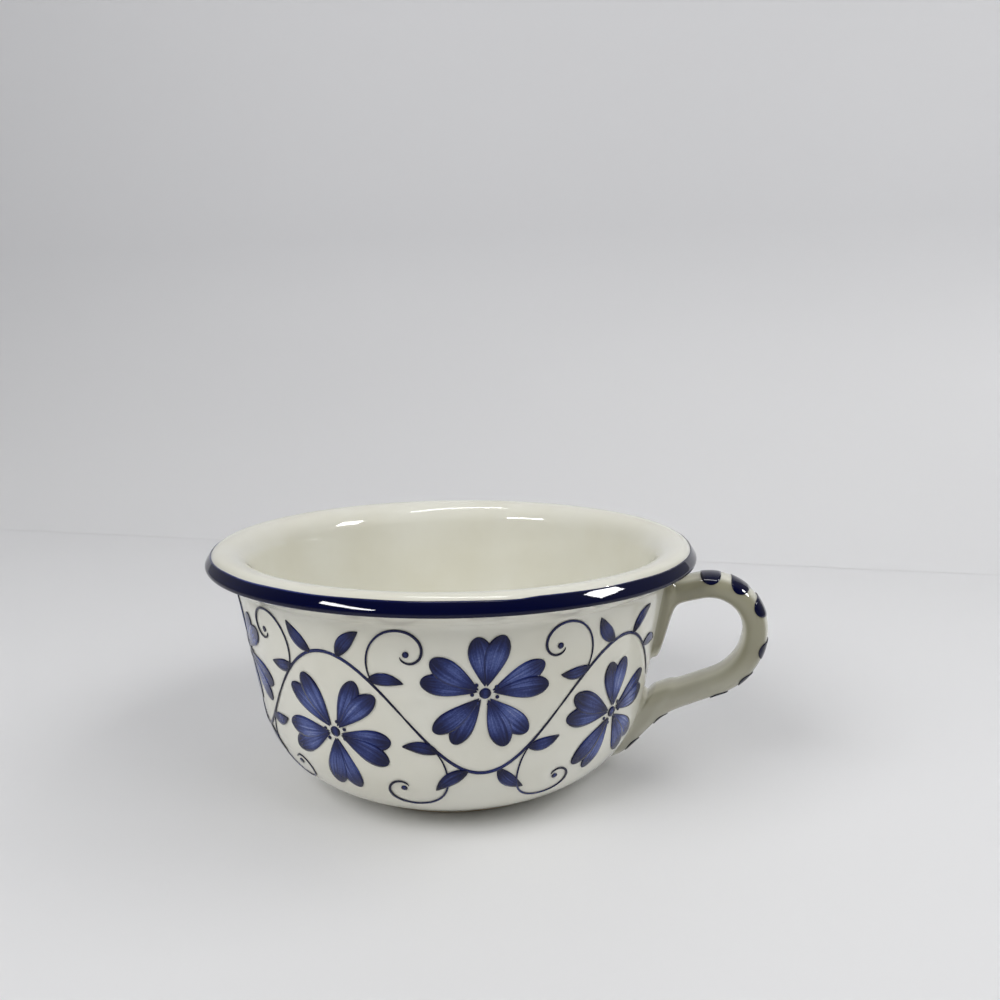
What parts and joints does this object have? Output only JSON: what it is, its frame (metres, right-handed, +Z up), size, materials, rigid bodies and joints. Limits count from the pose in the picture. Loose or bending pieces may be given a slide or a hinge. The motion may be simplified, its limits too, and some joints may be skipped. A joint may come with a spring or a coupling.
{
  "type": "handled soup bowl",
  "caption": "Round glazed ceramic soup bowl with tapered wall, rolled overhanging rim, low foot ring and a looped strap handle luted to one side.",
  "frame": {"origin": "on the table, under the middle of the bounding box of the whole pot, handle included", "axes": "+Z up, +X towards the handle; the bowl's own axis is parallel to Z, 10.75 mm from the origin on the side away from the handle"},
  "size_m": [0.1714, 0.15, 0.073],
  "materials": {
    "bowl_glaze": "gloss cream glaze over earthenware, stands in for ceramic",
    "handle_glaze": "gloss cream glaze over earthenware, stands in for ceramic",
    "fired_slip": "fired clay slip, matte, stands in for ceramic"
  },
  "bodies": {
    "root": {"bowl_body": "bowl_glaze", "handle": "handle_glaze", "upper_slip_joint": "fired_slip", "lower_slip_joint": "fired_slip"}
  },
  "joints": []
}
